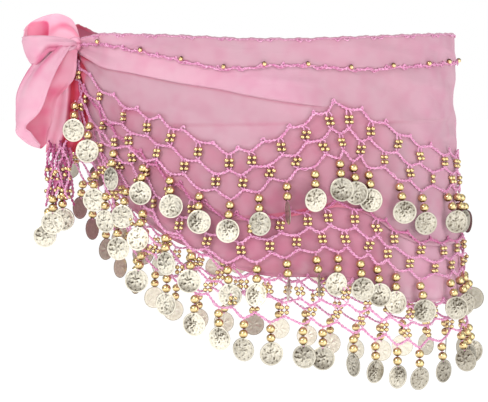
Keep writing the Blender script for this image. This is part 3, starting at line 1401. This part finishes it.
def gathered(grid, gathers, slack=0.35):
    """The same grid with its gathers, its hems and some slack pushed along its normals, and how
    deep each spot lies between gathers, from 0 to 1."""
    rows, columns = grid.shape[:2]
    s, u = np.meshgrid(np.linspace(0, 1, rows), np.linspace(0, 1, columns), indexing="ij")
    folds = sum(
        g.rise * bump(u, g.across + g.drift * s * 3, g.spread * (1 + 1.5 * s)) * ease(g.lasts, 0.0, s)
        for g in gathers
    )
    folds = folds * ease(0.0, 0.06, s)
    hems = 0.5 * (ease(HEM_WIDE, 0.6 * HEM_WIDE, u) + ease(1 - HEM_WIDE, 1 - 0.6 * HEM_WIDE, u))
    slack = slack * np.sin(9 * s + 5 * u) * np.sin(7 * u + 3 * s + 1) * np.sin(math.pi * u)
    push = folds + hems * ease(0.1, 0.3, s) + slack
    return grid + grid_normals(grid) * push[..., None], np.clip(-folds / 1.3, 0, 1)


def cloth_piece(name, grid, material, tone):
    """A piece of the bow from a grid of points in millimetres, with a thin wall."""
    pile = Pile()
    pile.add(grid * MM, grid_faces(*grid.shape[:2]), np.broadcast_to(tone, grid.shape[:2]))
    piece = pile.make(name, material, sharp=80.0)
    solid = piece.modifiers.new("wall", "SOLIDIFY")
    solid.thickness = WALL * MM
    solid.offset = 0.0
    return piece


def make_knot(material):
    """The band of cloth drawn tight round the knot, its folds running the way of the loops."""
    along = np.linspace(-1, 1, 41)[:, None]
    angle = np.linspace(0, 2 * math.pi, 49)[None, :]
    bulge = np.sqrt(np.clip(1 - (along * 0.94) ** 2, 0.02, 1))
    folds = 0.45 * np.sin(7 * angle + 1.6 * along) + 0.25 * np.sin(12 * angle - 2 * along + 1)
    x, y, z = KNOT_CENTRE
    half_long, half_deep, half_high = KNOT_HALVES
    grid = np.stack([
        x + half_long * along + 0 * angle,
        y - (half_deep + folds) * bulge * np.cos(angle),
        z + (half_high + folds) * bulge * np.sin(angle),
    ], axis=-1)
    piece = cloth_piece("knot_wrap", grid, material, 0.64 + 0.14 * folds)
    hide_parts("knot")
    return piece


# The shaded pocket that shows inside the upper loop, as x and z, and a crease at its front.
POCKET_CENTRE = (-191.0, 3.2)
POCKET_HALVES = (9.2, 8.2)
FRONT_CREASE = (-177.2, -7.8)


def upper_loop_tone(grid, deep, inside):
    """The upper loop's tone: shade inside it, most in its pocket, and in a crease at its front."""
    x, z = grid[..., 0], grid[..., 2]
    half_wide, half_high = POCKET_HALVES
    along, up = x - POCKET_CENTRE[0], z - POCKET_CENTRE[1]
    pocket = (along / half_wide) ** 4 + ((up - 0.1 * along) / half_high) ** 4
    shaded = ease(1.3, 0.7, pocket) * (0.7 + 0.3 * ease(-196, -184, x))
    outside = ease(0.56, 0.46, inside)
    below_crease = (x - FRONT_CREASE[0]) * -0.83 - (z - FRONT_CREASE[1]) * -0.56
    crease = ease(5.5, 1.0, below_crease) * ease(-6, -11, z) * (x < -172) * outside
    return 1.0 - (1 - outside) * (0.43 + 0.36 * shaded) - 0.19 * np.maximum(deep, crease)


def drooping_loop_tone(deep, along, inside):
    """The drooping loop's tone: shade inside it, most under its front lip, and a lit back lip."""
    under_lip = ease(0.74, 0.50, inside) * ease(0.08, 0.2, along)
    shade = ease(0.44, 0.52, inside) * (0.46 + 0.12 * under_lip + 0.20 * ease(0.36, 0.50, along))
    lit_lip = 0.18 * ease(0.86, 1.0, inside) * ease(0.45, 0.6, along)
    return 1.0 - shade + lit_lip - 0.18 * deep


def make_loops(material):
    """The two loops. The inside of each gets little light, and least where it folds."""
    upper, upper_deep = gathered(loop_grid(UPPER_LOOP, 80, 88), UPPER_GATHERS)
    drooping, drooping_deep = gathered(loop_grid(DROOPING_LOOP, 110, 96), DROOPING_GATHERS, slack=0.5)
    upper_tone = upper_loop_tone(upper, upper_deep, np.linspace(0, 1, 89)[None, :])
    drooping_tone = drooping_loop_tone(
        drooping_deep, np.linspace(0, 1, 111)[:, None], np.linspace(0, 1, 97)[None, :]
    )
    pieces = []
    for name, node, grid, tone in (
        ("bow_upper_loop", "upper_loop", upper, upper_tone),
        ("bow_drooping_loop", "drooping_loop", drooping, drooping_tone),
    ):
        piece = cloth_piece(name, grid, material, np.clip(tone, 0, 1))
        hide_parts(node)
        pieces.append(piece)
    return pieces


def make_tail(material):
    """The end that hangs behind the drooping loop: one fold in front, and deep shade beside it."""
    at = np.linspace(0, len(TAIL) - 1, 71)
    left, right = (
        smooth_through(range(len(TAIL)), [getattr(h, part) for h in TAIL], at)[:, None, :]
        for part in ("left", "right")
    )
    across = np.linspace(0, 1, 61)
    grid = left + (right - left) * across[None, :, None]
    s, u = np.meshgrid(np.linspace(0, 1, 71), across, indexing="ij")
    turn_in = 0.42 + 0.03 * np.sin(4 * s)
    folds = 3.2 * ease(turn_in + 0.06, turn_in - 0.06, u) + 1.2 * np.sin(u * 19 + 1.5 * s)
    grid = grid - np.array([0, 1.0, 0]) * (folds * (0.6 + 0.4 * s))[..., None]
    tone = 0.04 + 0.52 * ease(turn_in + 0.05, turn_in - 0.07, u) + 0.05 * np.sin(u * 19 + 1.5 * s)
    tone = tone * (1 - 0.35 * ease(0.82, 1.0, s))
    piece = cloth_piece("bow_tail", grid, material, np.clip(tone, 0, 1))
    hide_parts("tail")
    return piece


# The tail's net: its strands, their top and length, where they lie from left to right, and the
# rows of beads among them.
TAIL_STRANDS = 18
TAIL_TOP = -87
TAIL_LONG = 46
TAIL_LEFT = -182
TAIL_WIDE = 17
TAIL_YARN = 0.9
TAIL_BEAD_ROWS = (-111.0, -117.0, -128.0, -135.0)
TAIL_BEADS = 7
TAIL_BEAD_GAP = 3.1
# Where the tail's coins are tied, and the way each faces.
TAIL_TIES = [(-178.5, -29, -131), (-171, -27, -128), (-182, -25, -142)]
TAIL_WAYS = [(0, -1.0, 0), (0.1, -1.0, 0), (-0.2, -1.0, 0)]


def tail_strand(pile, number):
    """One wavy strand of the tail's bunched net. Strands differ in length, depth and tone."""
    share = number / (TAIL_STRANDS - 1)
    down = np.linspace(0, 1, 24)
    sway = 2.0 * np.sin(down * 9 + number * 1.9) + 1.0 * np.sin(down * 17 + number)
    x = TAIL_LEFT + TAIL_WIDE * share + (-1 + 3 * share) * down + sway
    y = -26 + 4.5 * math.sin(number * 2.4) + 1.2 * np.sin(down * 11 + number)
    z = TAIL_TOP - 3 * (number % 3) - down * (TAIL_LONG + 6 * math.sin(number * 1.7))
    path = np.stack([x, y, z], axis=-1) * MM
    crochet(pile, path, np.array([[0.0, -1.0, 0.0]]), TAIL_YARN, 0.1 + 0.3 * (number % 4))


def make_tail_net(yarn, gold, metal):
    """The tail's net, bunched into wavy strands with beads among them, and its three coins."""
    strands, beads, ties = Pile(), Pile(), Pile()
    for number in range(TAIL_STRANDS):
        tail_strand(strands, number)
    moves, ways = [], []
    for height in TAIL_BEAD_ROWS:
        for i in range(TAIL_BEADS):
            x = -183 + TAIL_BEAD_GAP * i + RANDOM.uniform(-0.8, 0.8)
            y = -29 + RANDOM.uniform(-1.5, 1.0)
            z = height + RANDOM.uniform(-2, 2)
            moves.append((x, y, z))
            ways.append(turned(RANDOM.uniform(0, 3), RANDOM.uniform(-0.5, 0.5)))
    points, faces, tones = ball(SMALL_BEAD, SMALL_BEAD_LONG, 6, 10)
    beads.add_copies(points, faces, np.concatenate(ways), np.array(moves) * MM, tones)
    tops, facings = np.array(TAIL_TIES) * MM, np.array(TAIL_WAYS)
    large, coins = make_pendants("tail", tops, facings, 0.0, np.zeros(3), gold, metal, ties)
    net = strands.make("tail_net_strands", yarn)
    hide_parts("tail_net")
    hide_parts("tail_coins")
    return [net, beads.make("tail_small_beads", gold), large, coins, ties.make("tail_ties", yarn)]


# ---------------------------------------------------------------- the studio

FLOOR_DROP = 0.75
FLOOR_HALF = 40.0

Lamp = namedtuple("Lamp", "name place size power")
LAMPS = [
    Lamp("key_light", (-1.3, -2.0, 1.5), 1.0, 31.0),
    Lamp("front_panel", (0.15, -2.5, 0.25), 1.5, 6.0),
    Lamp("left_panel", (-1.9, -1.7, 0.1), 1.6, 5.5),
    Lamp("right_panel", (1.9, -1.6, 0.3), 2.2, 25.0),
    Lamp("back_light", (0.3, 1.9, 1.5), 1.2, 14.0),
]


def make_studio():
    """A wide pale floor well below the scarf, a soft key light, and panels and a light round it.
    The floor is opal acrylic lit from below, which looks evenly white."""
    mesh = bpy.data.meshes.new("studio_floor")
    corners = [(x * FLOOR_HALF, y * FLOOR_HALF, 0) for x, y in ((-1, -1), (1, -1), (1, 1), (-1, 1))]
    mesh.from_pydata(corners, [], [[0, 1, 2, 3]])
    floor = bpy.data.objects.new("studio_floor", mesh)
    floor.location.z = -FLOOR_DROP
    bpy.context.collection.objects.link(floor)
    material, _, shader, _ = new_material("backlit_opal_acrylic", Roughness=0.9)
    shader.inputs["Base Color"].default_value = linear("#FFFFFF")
    shader.inputs["Emission Color"].default_value = linear("#FFFFFF")
    shader.inputs["Emission Strength"].default_value = 0.50
    mesh.materials.append(material)
    for lamp in LAMPS:
        data = bpy.data.lights.new(lamp.name, "AREA")
        data.size = lamp.size
        data.energy = lamp.power
        light = bpy.data.objects.new(lamp.name, data)
        light.location = lamp.place
        light.visible_camera = False
        light.rotation_euler = (Vector(lamp.place) - LOOK_AT).to_track_quat("Z", "Y").to_euler()
        bpy.context.collection.objects.link(light)


def make_surroundings():
    """A white room seen behind the scarf, dimmer as light and darker towards its floor."""
    world = bpy.data.worlds.new("white_room")
    bpy.context.scene.world = world
    world.use_nodes = True
    tree = world.node_tree
    background = tree.nodes["Background"]
    way = add_node(tree, "ShaderNodeTexCoord").outputs["Generated"]
    upward = add_node(tree, "ShaderNodeSeparateXYZ", links={"Vector": way}).outputs["Z"]
    level = add_node(
        tree, "ShaderNodeMapRange",
        {"From Min": -0.35, "From Max": 0.8, "To Min": 0.12, "To Max": 0.64}, {"Value": upward},
    ).outputs["Result"]
    seen = add_node(tree, "ShaderNodeLightPath").outputs["Is Camera Ray"]
    strength = add_node(
        tree, "ShaderNodeMix", {3: 1.0}, {0: seen, 2: level}, data_type="FLOAT"
    ).outputs[0]
    tree.links.new(strength, background.inputs["Strength"])
    background.inputs["Color"].default_value = linear("#FFFFFF")
    bpy.context.scene.view_settings.view_transform = "Standard"


# ---------------------------------------------------------------- the scarf


def main():
    """Makes every piece on the CAD solids, says how each sheet is cut and held, and lights it."""
    make_camera()
    chiffon = chiffon_material("dyed_chiffon", WRAP_TONES)
    bunched = chiffon_material("dyed_chiffon_bunched", BOW_TONES)
    yarn, gold, metal = yarn_material(), bead_material(), coin_material()
    under, over, band = make_under_layer(chiffon), make_over_layer(chiffon), make_turned_band(chiffon)
    trims = make_edgings(yarn, gold)
    for net in NETS:
        turns, strands, beads = make_net(net, yarn, gold)
        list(make_coin_rows(net, turns, yarn, gold, metal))
    knot = make_knot(bunched)
    upper, drooping = make_loops(bunched)
    tail = make_tail(bunched)
    tail_trims = make_tail_net(yarn, gold, metal)

    make_studio()
    make_surroundings()


main()
